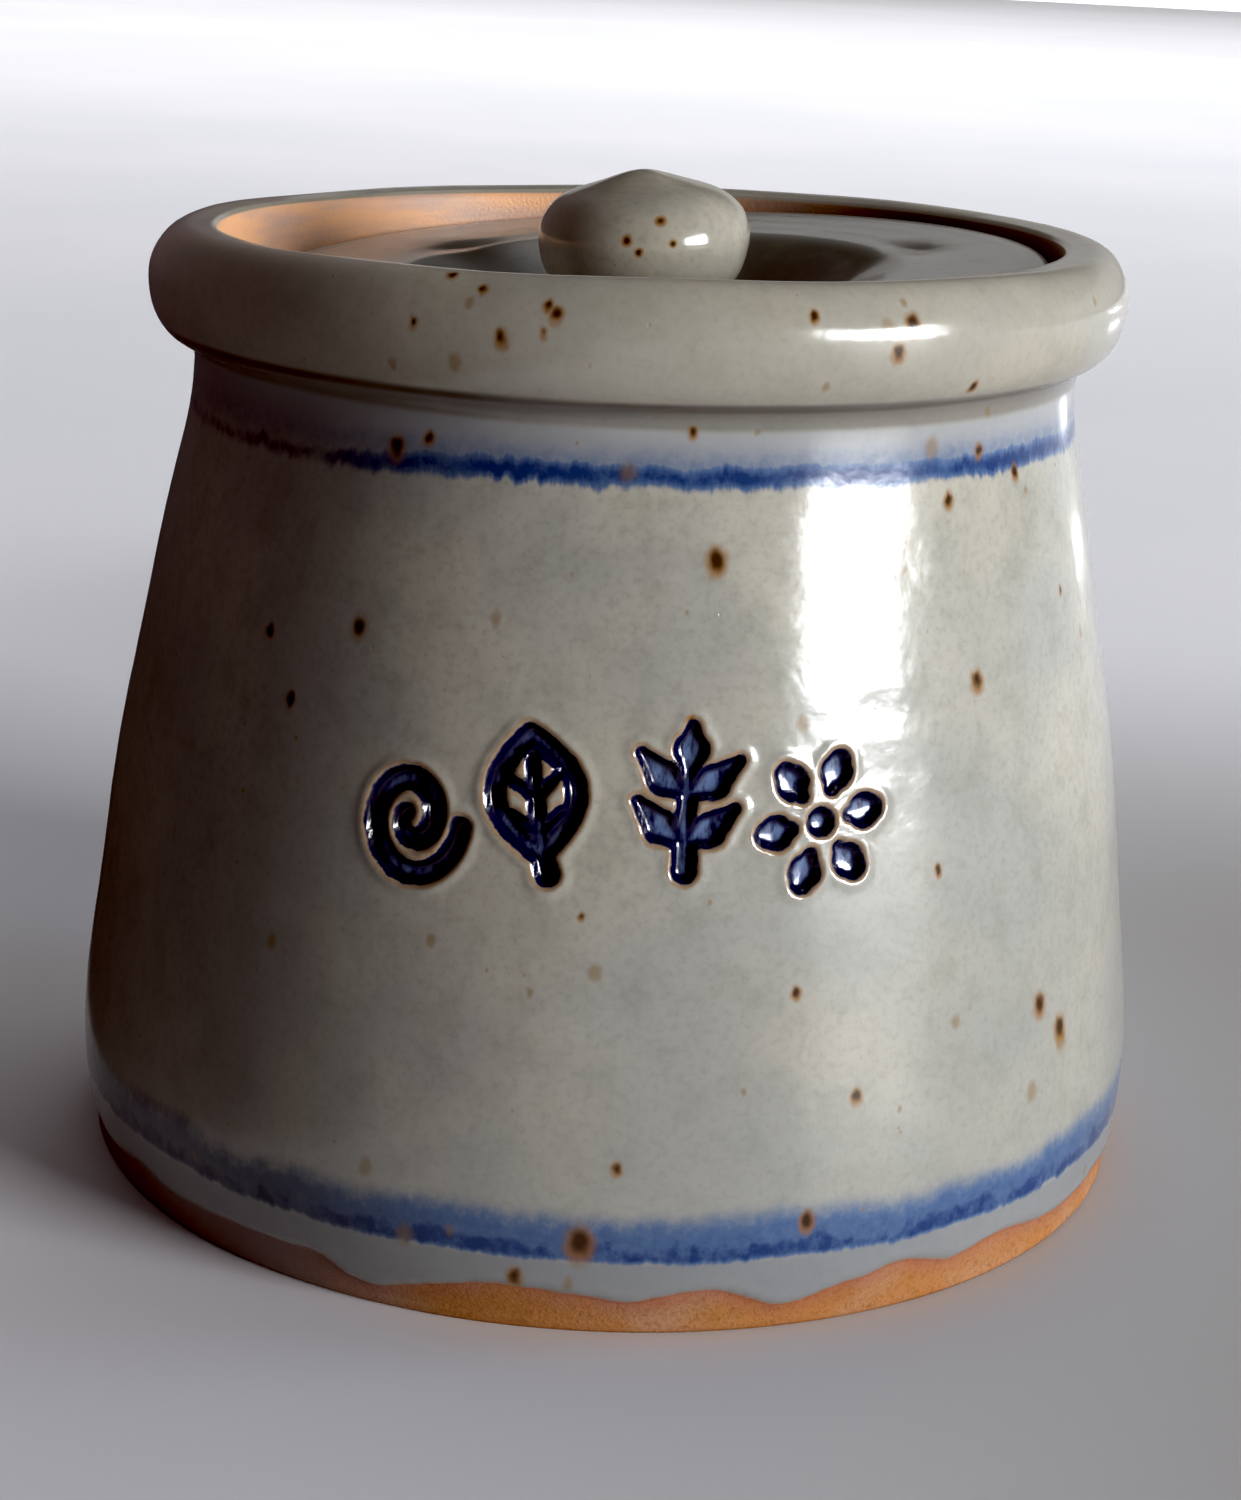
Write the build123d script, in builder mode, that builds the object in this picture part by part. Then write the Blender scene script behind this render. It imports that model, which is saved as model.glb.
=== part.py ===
from build123d import *
import os

# A lidded stoneware salt jar, thrown on the wheel: a pot that leans in from a wide foot to a
# rolled rim, and a sunken, dished lid with a round knob, which drops into the rim's gallery.
# Lengths are millimetres. The origin is the centre of the foot, on the table, and +Z is up.

# Pot, outside: the neck is the throat under the rim
pot_height = 108.4
foot_radius = 62.0
foot_edge_round = 0.8
belly_radius = 63.4
belly_height = 8.0
rim_radius = 56.0
rim_overhang = 5.2
neck_drop = 15.2
# Each pair is the share of the climb from belly to neck, and the share of the lean-in there.
lean_shares = ((0.25, 0.12), (0.46, 0.31), (0.67, 0.58), (0.85, 0.833), (0.94, 0.961))

# Foot ring, trimmed under the pot
foot_ring_width = 9.0
foot_recess_depth = 1.6
foot_recess_slope = 2.4

# Rolled rim, half an ellipse outside and a nearly flat lip on top
rim_thickness = 7.9
rim_roll_width = 4.4
rim_roll_height = 12.9
rim_crease_angle = 80
lip_fall = 0.4
lip_edge_round = 0.9

# Gallery: the bare recess inside the rim, with the ledge that carries the lid
gallery_depth = 12.4
gallery_flare = 0.9
ledge_corner_round = 1.0
ledge_width = 6.7
ledge_thickness = 3.6
ledge_tip_round = 1.2

# Walls
wall_thickness = 5.2
floor_thickness = 7.0
floor_corner_round = 11.0

# Lid, which rests on the ledge at one side and leans on the flared gallery at the other
lid_play = 0.6
seat_gap = 0.3
lid_tilt = 3.9
lid_high_side_angle = 33
flange_thickness = 4.6
flange_fall = 0.7
flange_top_round = 1.6
flange_under_round = 0.8
flange_width = 16.6
well_depth = 8.2
well_floor_margin = 5.4
well_wall_thickness = 4.2
well_floor_thickness = 4.6

# Knob, from its foot on the well's floor to its nipple
knob_radius = 12.2
knob_height = 19.1
knob_foot_radius = 9.6
knob_bulge_share = 0.607
knob_shoulder_width_share = 0.49
knob_shoulder_rise_share = 0.293
knob_shoulder_angle = 65
# Each pair is the share of the knob's radius and the share of its height.
knob_waist_shares = ((0.71, 0.13), (0.88, 0.35), (0.97, 0.48))
knob_crown_shares = ((0.47, 0.924), (0.23, 0.972))

# Directions in a section, where the first number runs outwards and the second upwards
plumb = (0, 1)
level_in = (-1, 0)
level_out = (1, 0)
knob_foot_slope = (-1, 1)
right_angle = 90

# What follows the rim: the neck under it, and the gallery, ledge and mouth inside it
neck_radius = rim_radius - rim_overhang
neck_height = pot_height - neck_drop
gallery_top_radius = rim_radius - rim_thickness
gallery_radius = gallery_top_radius - gallery_flare
ledge_height = pot_height - gallery_depth
mouth_radius = gallery_radius - ledge_width

# The lid's low edge stands on the ledge, and its high edge leans on the gallery's flared wall.
lid_radius = gallery_radius - lid_play
lid_lean = Vector(1, 0, 0).rotate(Axis.Y, -lid_tilt)
lid_half_span = lid_radius * lid_lean.X
lid_half_rise = lid_radius * lid_lean.Z
lid_rest_height = ledge_height + seat_gap + lid_half_rise
flare_slope = gallery_flare / (gallery_depth - lip_fall)
wall_at_high_edge = gallery_radius + flare_slope * (seat_gap + 2 * lid_half_rise)
lid_offset = wall_at_high_edge - seat_gap - lid_half_span
lid_plane = Plane(
    origin=Vector(lid_offset, 0, lid_rest_height).rotate(Axis.Z, lid_high_side_angle),
    x_dir=lid_lean.rotate(Axis.Z, lid_high_side_angle),
    z_dir=Vector(0, -1, 0).rotate(Axis.Z, lid_high_side_angle),
)
lid_axis = Axis(lid_plane.origin, lid_plane.y_dir)
well_radius = lid_radius - flange_width
well_floor_radius = knob_foot_radius + well_floor_margin
well_floor = flange_thickness - well_depth


def wall_points(inset):
    """Points up the pot's side between belly and neck, moved inwards by the given amount."""
    climb = neck_height - belly_height
    lean = belly_radius - neck_radius
    return [
        (belly_radius - inset - lean * lean_share, belly_height + climb * climb_share)
        for climb_share, lean_share in lean_shares
    ]


# The pot: wall, floor, trimmed foot, rolled rim and gallery, thrown in one piece of clay
recess_radius = foot_radius - foot_ring_width
rim_centre = (rim_radius - rim_roll_width, pot_height - rim_roll_height / 2)
lip_edge = (gallery_top_radius, pot_height - lip_fall)
ledge_corner = (gallery_radius, ledge_height)
ledge_tip = (mouth_radius, ledge_height)
ledge_under = (mouth_radius, ledge_height - ledge_thickness)
floor_corner = (belly_radius - wall_thickness, floor_thickness)
inner_points = wall_points(wall_thickness)

with BuildPart() as pot:
    with BuildSketch(Plane.XZ) as pot_section:
        with BuildLine():
            foot = Polyline(
                (0, foot_recess_depth),
                (recess_radius - foot_recess_slope, foot_recess_depth),
                (recess_radius, 0),
                (foot_radius, 0),
            )
            side = Spline(
                foot @ 1,
                (belly_radius, belly_height),
                *wall_points(0),
                (neck_radius, neck_height),
            )
            roll = EllipticalCenterArc(
                rim_centre,
                rim_roll_width,
                rim_roll_height / 2,
                start_angle=-rim_crease_angle,
                arc_size=rim_crease_angle + right_angle,
            )
            TangentArc(side @ 1, roll @ 0, tangent=side % 1)
            Polyline(
                roll @ 1,
                lip_edge,
                ledge_corner,
                ledge_tip,
                ledge_under,
                inner_points[-1],
            )
            Spline(*reversed(inner_points), floor_corner)
            Polyline(floor_corner, (0, floor_thickness), foot @ 0)
        make_face()
        corner_rounds = (
            (foot @ 1, foot_edge_round),
            (lip_edge, lip_edge_round),
            (ledge_corner, ledge_corner_round),
            (ledge_tip, ledge_tip_round),
            (ledge_under, ledge_tip_round),
            (floor_corner, floor_corner_round),
        )
        for place, radius in corner_rounds:
            fillet(pot_section.vertices().sort_by_distance(place)[0], radius)
    revolve(axis=Axis.Z)

# The lid: a flat flange that sinks into a rounded well, about equally thick all over
flange_edge = (lid_radius, flange_thickness)
flange_corner = (lid_radius, 0)
well_edge = (well_radius, flange_thickness - flange_fall)
well_floor_edge = (well_floor_radius, well_floor)
under_edge = (well_radius + well_wall_thickness, 0)
under_floor = (well_floor_radius + well_wall_thickness / 2, well_floor - well_floor_thickness)

with BuildPart() as lid:
    with BuildSketch(lid_plane) as lid_section:
        with BuildLine():
            flange = Line(flange_edge, well_edge)
            Spline(well_edge, well_floor_edge, tangents=(flange % 1, level_in))
            Polyline(
                well_floor_edge,
                (0, well_floor),
                (0, well_floor - well_floor_thickness),
                under_floor,
            )
            Spline(under_floor, under_edge, tangents=(level_out, level_out))
            Polyline(under_edge, flange_corner, flange_edge)
        make_face()
        for place, radius in ((flange_edge, flange_top_round), (flange_corner, flange_under_round)):
            fillet(lid_section.vertices().sort_by_distance(place)[0], radius)
    revolve(axis=lid_axis)

# The knob: a ball on a waist, whose rounded shoulder runs up in an ogee to a low nipple
knob_foot_edge = (knob_foot_radius, well_floor)
knob_top = (0, well_floor + knob_height)
knob_bulge = (knob_radius, well_floor + knob_height * knob_bulge_share)
shoulder_width = knob_radius * knob_shoulder_width_share
shoulder_rise = knob_height * knob_shoulder_rise_share
shoulder_centre = (knob_radius - shoulder_width, knob_bulge[1])
waist_points, crown_points = (
    [
        (knob_radius * radius_share, well_floor + knob_height * height_share)
        for radius_share, height_share in shares
    ]
    for shares in (knob_waist_shares, knob_crown_shares)
)

with BuildPart() as knob:
    with BuildSketch(lid_plane):
        with BuildLine():
            Spline(
                knob_foot_edge,
                *waist_points,
                knob_bulge,
                tangents=(knob_foot_slope, plumb),
            )
            shoulder = EllipticalCenterArc(
                shoulder_centre,
                shoulder_width,
                shoulder_rise,
                start_angle=0,
                arc_size=knob_shoulder_angle,
            )
            Spline(shoulder @ 1, *crown_points, knob_top, tangents=(shoulder % 1, level_in))
            Polyline(knob_top, (0, well_floor), knob_foot_edge)
        make_face()
    revolve(axis=lid_axis)

os.makedirs("parts", exist_ok=True)
for name, piece in (("pot", pot), ("lid", lid), ("knob", knob)):
    piece.part.label = name
    export_step(piece.part, f"parts/{name}.step")
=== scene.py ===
import math

import bpy
import numpy as np
from mathutils import Matrix, Vector


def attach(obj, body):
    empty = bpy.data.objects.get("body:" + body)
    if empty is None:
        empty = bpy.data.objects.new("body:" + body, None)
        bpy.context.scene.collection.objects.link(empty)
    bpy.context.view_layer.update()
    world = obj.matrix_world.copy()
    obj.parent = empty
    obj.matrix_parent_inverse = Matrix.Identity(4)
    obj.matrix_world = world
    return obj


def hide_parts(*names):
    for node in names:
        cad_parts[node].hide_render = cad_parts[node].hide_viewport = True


# The lidded stoneware salt jar in its grey glaze, with cobalt bands, iron specks, four stamped
# motifs, and bare clay at the foot and in the gallery. Outlines are in millimetres, and meshes,
# camera and lights in metres. Azimuths are degrees round the jar: 0 at the front, 90 at the right.
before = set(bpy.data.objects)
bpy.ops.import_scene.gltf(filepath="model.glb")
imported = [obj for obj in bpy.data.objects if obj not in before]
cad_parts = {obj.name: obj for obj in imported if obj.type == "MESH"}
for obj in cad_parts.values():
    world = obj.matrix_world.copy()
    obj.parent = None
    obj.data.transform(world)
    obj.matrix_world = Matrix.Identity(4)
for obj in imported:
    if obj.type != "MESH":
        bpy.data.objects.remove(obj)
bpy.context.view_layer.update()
metre = 0.001

# Pot, outside
pot_height = 108.4
foot_radius = 62.0
foot_edge_round = 0.8
belly_radius = 63.4
belly_height = 8.0
rim_radius = 56.0
rim_overhang = 5.2
neck_drop = 15.2
# Points up the wall from belly to neck: (share of the climb, share of the lean)
lean_shares = ((0.25, 0.12), (0.46, 0.31), (0.67, 0.58), (0.85, 0.833), (0.94, 0.961))
foot_ring_width = 9.0
foot_recess_depth = 1.6
foot_recess_slope = 2.4

# Rolled rim, gallery and walls
rim_thickness = 7.9
rim_roll_width = 4.4
rim_roll_height = 12.9
rim_crease_angle = 80
lip_fall = 0.4
lip_edge_round = 0.9
gallery_depth = 12.4
gallery_flare = 0.9
ledge_corner_round = 1.0
ledge_width = 6.7
ledge_thickness = 3.6
ledge_tip_round = 1.2
wall_thickness = 5.2
floor_thickness = 7.0
floor_corner_round = 11.0

# Lid
lid_play = 0.6
seat_gap = 0.3
lid_tilt = 3.9
lid_high_side_angle = 33
flange_thickness = 4.6
flange_fall = 0.7
flange_top_round = 1.6
flange_under_round = 0.8
flange_width = 16.6
well_depth = 8.2
well_floor_margin = 5.4
well_wall_thickness = 4.2
well_floor_thickness = 4.6

# Knob
knob_radius = 12.2
knob_height = 19.1
knob_foot_radius = 9.6
knob_bulge_share = 0.607
knob_shoulder_width_share = 0.49
knob_shoulder_rise_share = 0.293
knob_shoulder_angle = 65
# (share of the radius, share of the height)
knob_waist_shares = ((0.71, 0.13), (0.88, 0.35), (0.97, 0.48))
knob_crown_shares = ((0.47, 0.924), (0.23, 0.972))

neck_radius = rim_radius - rim_overhang
neck_height = pot_height - neck_drop
gallery_top_radius = rim_radius - rim_thickness
gallery_radius = gallery_top_radius - gallery_flare
ledge_height = pot_height - gallery_depth
mouth_radius = gallery_radius - ledge_width
lid_radius = gallery_radius - lid_play

# How finely the outlines are cut up
outline_step = 0.05


def unit(direction):
    """The direction with a length of one."""
    return np.array(direction) / np.linalg.norm(direction)


def smooth_line(points, start=None, end=None):
    """A smooth line through the points; start and end are directions, or left free."""
    points = np.array(points, float)
    spans = np.linalg.norm(np.diff(points, axis=0), axis=1)
    count = len(points)
    system = np.zeros((count, count))
    right = np.zeros((count, 2))
    for i in range(1, count - 1):
        before, after = spans[i - 1], spans[i]
        system[i, i - 1 : i + 2] = after, 2 * (before + after), before
        right[i] = 3 * (
            after * (points[i] - points[i - 1]) / before + before * (points[i + 1] - points[i]) / after
        )
    for row, near, direction in ((0, 1, start), (count - 1, count - 2, end)):
        if direction is None:
            system[row, row], system[row, near] = 2, 1
            first, last = sorted((row, near))
            right[row] = 3 * (points[last] - points[first]) / spans[first]
        else:
            system[row, row] = 1
            right[row] = unit(direction)
    slopes = np.linalg.solve(system, right)
    line = []
    for i, span in enumerate(spans):
        t = np.linspace(0, 1, max(2, int(span / outline_step)), endpoint=False)[:, None]
        line.append(
            (2 * t**3 - 3 * t**2 + 1) * points[i]
            + (t**3 - 2 * t**2 + t) * span * slopes[i]
            + (3 * t**2 - 2 * t**3) * points[i + 1]
            + (t**3 - t**2) * span * slopes[i + 1]
        )
    return np.vstack([*line, points[-1:]])


def straight(*points):
    """A line of straight pieces, cut up finely."""
    line = []
    for a, b in zip(np.array(points[:-1], float), np.array(points[1:], float)):
        count = max(2, int(np.linalg.norm(b - a) / outline_step))
        line.append(a + (b - a) * np.linspace(0, 1, count, endpoint=False)[:, None])
    return np.vstack([*line, np.array(points[-1:], float)])


def ellipse_arc(centre, half_width, half_height, start, sweep):
    """Part of an ellipse, from the start angle onwards, in degrees."""
    turn = np.radians(np.linspace(start, start + sweep, 240))
    return np.column_stack(
        [centre[0] + half_width * np.cos(turn), centre[1] + half_height * np.sin(turn)]
    )


def touching_arc(start, direction, end):
    """A circular arc from start, leaving it in that direction, to end."""
    direction = unit(direction)
    side = np.array([-direction[1], direction[0]])
    chord = np.array(end) - start
    radius = (chord @ chord) / (2 * (side @ chord))
    sweep = 2 * math.atan2(side @ chord, direction @ chord)
    turn = np.linspace(0, sweep, 80)[:, None]
    return start + radius * (direction * np.sin(turn) + side * (1 - np.cos(turn)))


def joined(first, *others):
    """One line of several that each start where the one before ends."""
    return np.vstack([first, *(line[1:] for line in others)])


def lengths_along(line):
    """How far along the line each of its points is."""
    return np.concatenate([[0], np.cumsum(np.linalg.norm(np.diff(line, axis=0), axis=1))])


def at_length(line, lengths):
    """The points that are so far along the line."""
    along = lengths_along(line)
    return np.column_stack([np.interp(lengths, along, line[:, k]) for k in (0, 1)])


def length_to(line, place):
    """How far along the line the point nearest to the place is."""
    return lengths_along(line)[np.argmin(np.linalg.norm(line - place, axis=1))]


def rounded(line, corners):
    """The line with its corners rounded; each is (place, radius)."""
    for place, radius in corners:
        along = lengths_along(line)
        corner = length_to(line, place)
        before, here, after = at_length(line, [corner - outline_step, corner, corner + outline_step])
        into, out = here - before, after - here
        turn = abs(math.atan2(into[0] * out[1] - into[1] * out[0], into @ out))
        reach = radius * math.tan(turn / 2)
        start, end = corner - reach, corner + reach
        places = at_length(line, [start - outline_step, start, end, end + outline_step])
        handle = 4 / 3 * math.tan(turn / 4) * radius
        into, out = unit(places[1] - places[0]), unit(places[3] - places[2])
        t = np.linspace(0, 1, 60)[:, None]
        bend = (
            (1 - t) ** 3 * places[1]
            + 3 * t * (1 - t) ** 2 * (places[1] + handle * into)
            + 3 * t**2 * (1 - t) * (places[2] - handle * out)
            + t**3 * places[2]
        )
        line = np.vstack([line[along < start], bend, line[along > end]])
    keep = np.concatenate([[True], np.linalg.norm(np.diff(line, axis=0), axis=1) > 1e-6])
    return line[keep]


def wall_points(inset):
    """Points up the pot's side between belly and neck, moved inwards by the given amount."""
    climb = neck_height - belly_height
    lean = belly_radius - neck_radius
    return [
        (belly_radius - inset - lean * lean_share, belly_height + climb * climb_share)
        for climb_share, lean_share in lean_shares
    ]


def pot_outline():
    """The pot's section, from the middle of its underside, up the outside, to the inside floor."""
    recess_radius = foot_radius - foot_ring_width
    rim_centre = (rim_radius - rim_roll_width, pot_height - rim_roll_height / 2)
    lip_edge = (gallery_top_radius, pot_height - lip_fall)
    ledge_corner = (gallery_radius, ledge_height)
    ledge_tip = (mouth_radius, ledge_height)
    ledge_under = (mouth_radius, ledge_height - ledge_thickness)
    floor_corner = (belly_radius - wall_thickness, floor_thickness)
    inner_points = wall_points(wall_thickness)
    foot_edge = (foot_radius, 0)
    foot = straight(
        (0, foot_recess_depth),
        (recess_radius - foot_recess_slope, foot_recess_depth),
        (recess_radius, 0),
        foot_edge,
    )
    side = smooth_line(
        [foot_edge, (belly_radius, belly_height), *wall_points(0), (neck_radius, neck_height)]
    )
    roll = ellipse_arc(
        rim_centre, rim_roll_width, rim_roll_height / 2, -rim_crease_angle, rim_crease_angle + 90
    )
    cove = touching_arc(side[-1], side[-1] - side[-2], roll[0])
    lip = straight(roll[-1], lip_edge, ledge_corner, ledge_tip, ledge_under, inner_points[-1])
    inside = smooth_line([*reversed(inner_points), floor_corner])
    floor = straight(floor_corner, (0, floor_thickness))
    return rounded(
        joined(foot, side, cove, roll, lip, inside, floor),
        (
            (foot_edge, foot_edge_round),
            (lip_edge, lip_edge_round),
            (ledge_corner, ledge_corner_round),
            (ledge_tip, ledge_tip_round),
            (ledge_under, ledge_tip_round),
            (floor_corner, floor_corner_round),
        ),
    )


well_radius = lid_radius - flange_width
well_floor_radius = knob_foot_radius + well_floor_margin
well_floor = flange_thickness - well_depth


def lid_outline():
    """The lid's section, from the middle of its underside, round the flange, to the well's floor."""
    flange_edge = (lid_radius, flange_thickness)
    flange_corner = (lid_radius, 0)
    well_edge = (well_radius, flange_thickness - flange_fall)
    well_floor_edge = (well_floor_radius, well_floor)
    under_edge = (well_radius + well_wall_thickness, 0)
    under_height = well_floor - well_floor_thickness
    under_floor = (well_floor_radius + well_wall_thickness / 2, under_height)
    well = smooth_line(
        [well_edge, well_floor_edge], start=(-flange_width, -flange_fall), end=(-1, 0)
    )
    under = smooth_line([under_floor, under_edge], start=(1, 0), end=(1, 0))
    line = joined(
        straight((0, under_height), under_floor),
        under,
        straight(under_edge, flange_corner, flange_edge, well_edge),
        well,
        straight(well_floor_edge, (0, well_floor)),
    )
    return rounded(line, ((flange_edge, flange_top_round), (flange_corner, flange_under_round)))


def knob_outline():
    """The knob's section, from the middle of its foot, round the ball, to the nipple."""
    foot_edge = (knob_foot_radius, well_floor)
    bulge = (knob_radius, well_floor + knob_height * knob_bulge_share)
    shoulder_width = knob_radius * knob_shoulder_width_share
    shoulder_rise = knob_height * knob_shoulder_rise_share
    waist, crown = (
        [
            (knob_radius * radius_share, well_floor + knob_height * height_share)
            for radius_share, height_share in shares
        ]
        for shares in (knob_waist_shares, knob_crown_shares)
    )
    ball = smooth_line([foot_edge, *waist, bulge], start=(-1, 1), end=(0, 1))
    shoulder = ellipse_arc(
        (knob_radius - shoulder_width, bulge[1]), shoulder_width, shoulder_rise, 0, knob_shoulder_angle
    )
    nipple = smooth_line(
        [shoulder[-1], *crown, (0, well_floor + knob_height)],
        start=shoulder[-1] - shoulder[-2],
        end=(-1, 0),
    )
    return joined(straight((0, well_floor), foot_edge), ball, shoulder, nipple)


def spread(positions, spacing):
    """Places from the first position to the last, spaced as the spacing asks at each position."""
    steps = np.diff(positions) * 2 / (spacing[:-1] + spacing[1:])
    total = np.concatenate([[0], np.cumsum(steps)])
    return np.interp(np.linspace(0, total[-1], int(total[-1]) + 2), total, positions)


def blend_in(value, start, end):
    """0 before start, 1 after end, and a smooth rise between them; end may be below start."""
    t = np.clip((value - start) / (end - start), 0, 1)
    return t * t * (3 - 2 * t)


def ripples(seed, azimuth, height, wavelength, around=60.0, count=14):
    """Seamless lumps round the jar, about -1 to 1, with roughly the given wavelength in mm."""
    random = np.random.default_rng(seed)
    total = np.zeros(np.broadcast(azimuth, height).shape)
    for _ in range(count):
        direction = random.uniform(0, math.pi)
        wave = 2 * math.pi / (wavelength * random.uniform(0.7, 1.5))
        turns = round(around * wave * math.cos(direction))
        total += np.cos(
            turns * np.radians(azimuth)
            + wave * math.sin(direction) * height
            + random.uniform(0, 2 * math.pi)
        )
    return total / math.sqrt(2 * count)


def placed(name, data):
    """A new object of the scene."""
    made = bpy.data.objects.new(name, data)
    bpy.context.scene.collection.objects.link(made)
    return made


def turned_piece(name, line, azimuths, relief, place, values=None):
    """A mesh of the line turned round its axis, with the relief added along its normals in mm.
    place turns radius, azimuth and height into points, and values gives point attributes."""
    inner = line[1:-1]
    tangent = np.gradient(line, axis=0)[1:-1]
    normal = np.column_stack([tangent[:, 1], -tangent[:, 0]])
    normal /= np.linalg.norm(normal, axis=1)[:, None]
    azimuth = azimuths[None, :]
    rise = relief(azimuth, inner)
    radius = inner[:, :1] + normal[:, :1] * rise
    height = inner[:, 1:] + normal[:, 1:] * rise
    grid = place(radius, azimuth, height)
    rows, columns = grid.shape[:2]
    ends = [
        place(np.zeros((1, 1)), np.zeros((1, 1)), np.full((1, 1), line[k, 1])).reshape(1, 3)
        for k in (0, -1)
    ]
    points = np.vstack([grid.reshape(-1, 3), *ends]) * metre
    ring = np.arange(columns)
    after = (ring + 1) % columns
    faces = []
    for row in range(rows - 1):
        a, b = row * columns, (row + 1) * columns
        faces += np.column_stack([a + ring, a + after, b + after, b + ring]).tolist()
    first, last = rows * columns, rows * columns + 1
    faces += np.column_stack([after, ring, np.full(columns, first)]).tolist()
    top = (rows - 1) * columns
    faces += np.column_stack([top + ring, top + after, np.full(columns, last)]).tolist()
    mesh = bpy.data.meshes.new(name)
    mesh.from_pydata(points.tolist(), [], faces)
    mesh.shade_smooth()
    for key, grid_values in (values or {}).items():
        flat = np.broadcast_to(grid_values, (rows, columns)).reshape(-1)
        filled = np.concatenate([flat, [flat[0], flat[-1]]]).astype(np.float32)
        mesh.attributes.new(key, "FLOAT", "POINT").data.foreach_set("value", filled)
    mesh.update()
    return placed(name, mesh)


# Rim, lid and knob stand a little lower at the left and at the back than the level outlines. The
# wall follows from slump_start up, a height in mm.
slump_right = 0.0153
slump_front = 0.0119
slump_start = 60


def slump(x, y, share):
    """How much lower or higher a point stands, for a share of the full slump."""
    return (slump_right * x - slump_front * y) * share


def upright(radius, azimuth, height):
    """Points of the pot, whose rim is a little out of level."""
    turn = np.radians(azimuth)
    x = radius * np.sin(turn)
    y = -radius * np.cos(turn)
    share = blend_in(height, slump_start, neck_height)
    return np.stack([x, y, height + slump(x, y, share)], axis=-1)


# The lid leans: its low edge stands on the ledge and its high edge leans on the gallery's wall.
tilt = math.radians(lid_tilt)
lid_rest_height = ledge_height + seat_gap + lid_radius * math.sin(tilt)
flare_slope = gallery_flare / (gallery_depth - lip_fall)
wall_at_high_edge = gallery_radius + flare_slope * (seat_gap + 2 * lid_radius * math.sin(tilt))
lid_offset = wall_at_high_edge - seat_gap - lid_radius * math.cos(tilt)
lid_turn = Matrix.Rotation(math.radians(lid_high_side_angle), 3, "Z")
lid_centre = np.array(lid_turn @ Vector((lid_offset, 0, lid_rest_height)))
lid_across = np.array(lid_turn @ Vector((math.cos(tilt), 0, math.sin(tilt))))
lid_axis = np.array(lid_turn @ Vector((-math.sin(tilt), 0, math.cos(tilt))))
lid_along = np.cross(lid_axis, lid_across)


def leaning(radius, azimuth, height):
    """Points of the lid and the knob, in the lid's leaning place."""
    turn = np.radians(azimuth - 90 - lid_high_side_angle)
    across = (radius * np.cos(turn))[..., None] * lid_across
    along = (radius * np.sin(turn))[..., None] * lid_along
    points = lid_centre + across + along + np.asarray(height)[..., None] * lid_axis
    points[..., 2] += slump(points[..., 0], points[..., 1], 1)
    return points


# Four stamped motifs: a volute, a leaf, a sprig and a flower. Each is a list of strokes, and a
# stroke is a list of (right, up, half width) in millimetres from the motif's middle.
stamp_depth = 1.0


def volute():
    turns, reach = 1.6, 4.7
    strokes = []
    for k in range(61):
        t = k / 60
        angle = 2 * math.pi * turns * t + 2.4
        radius = 0.7 + reach * t
        half_width = 0.85 + 1.15 * t * (1.2 - t)
        strokes.append((radius * math.cos(angle), 1.2 * radius * math.sin(angle), half_width))
    return [strokes]


def leaf():
    left = [(-4.2 * math.sin(math.pi * t) ** 0.9, -5.2 + 12 * t, 1.1) for t in np.linspace(0, 1, 16)]
    right = [(-x, y, width) for x, y, width in left]
    rib = [(0.5, -7.2, 1.3), (0, -5, 1.1), (0, 4.6, 0.7)]
    veins = [
        [(0, y, 0.7), (side * 2.6, y + 2.1, 0.55)] for y in (-3.1, 0.5) for side in (-1, 1)
    ]
    return [left, right, rib, *veins]


def sprig():
    stem = [(0.3, -7.2, 1.3), (0, -3, 1.1), (0, 3, 0.9)]
    leaves = [
        [(0, y, 0.6), (side * 2.5, y + 1.6, 1.8), (side * 5.0, y + 3.9, 0.6)]
        for y in (-4.6, 0.2)
        for side in (-1, 1)
    ]
    return [stem, *leaves, [(0, 2.4, 0.8), (0, 4.8, 1.8), (0, 7.2, 0.6)]]


def flower():
    petals = []
    for k in range(6):
        turn = 2 * math.pi * k / 6 + 0.2
        petal = [
            (reach * math.sin(turn), 1.06 * reach * math.cos(turn), half_width)
            for reach, half_width in ((3.4, 0.8), (5.0, 1.8), (6.0, 1.3))
        ]
        petals.append(petal)
    return [[(0, 0, 1.5), (0.05, 0, 1.5)], *petals]


# (azimuth, height, turn in degrees, strokes)
stamps = (
    (-20.75, 53.7, 4, volute()),
    (-7.95, 56.7, 9, leaf()),
    (7.25, 57.8, -4, sprig()),
    (21.35, 55.0, -10, flower()),
)
# Distances to the stamps are capped, and each motif fits in a window that reaches so far, in mm.
stamp_far = 4.0
stamp_window = 12


def stamp_distance(azimuth, height, radius):
    """Distance to the nearest stroke's edge in mm, below 0 inside it, and capped far away."""
    nearest = np.full(np.broadcast(azimuth, height).shape, stamp_far)
    azimuth, height, radius = np.broadcast_arrays(azimuth, height, radius)
    for centre, middle, turn, strokes in stamps:
        right = np.radians(azimuth - centre) * radius
        up = height - middle
        near = (abs(right) < stamp_window) & (abs(up) < stamp_window)
        angle = math.radians(turn)
        x = right[near] * math.cos(angle) + up[near] * math.sin(angle)
        y = up[near] * math.cos(angle) - right[near] * math.sin(angle)
        best = np.full(x.shape, stamp_far)
        for stroke in strokes:
            for (ax, ay, aw), (bx, by, bw) in zip(stroke[:-1], stroke[1:]):
                dx, dy = bx - ax, by - ay
                t = np.clip(((x - ax) * dx + (y - ay) * dy) / (dx * dx + dy * dy), 0, 1)
                gap = np.hypot(x - ax - t * dx, y - ay - t * dy) - (aw + (bw - aw) * t)
                best = np.minimum(best, gap)
        nearest[near] = np.minimum(nearest[near], best)
    return nearest


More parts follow.
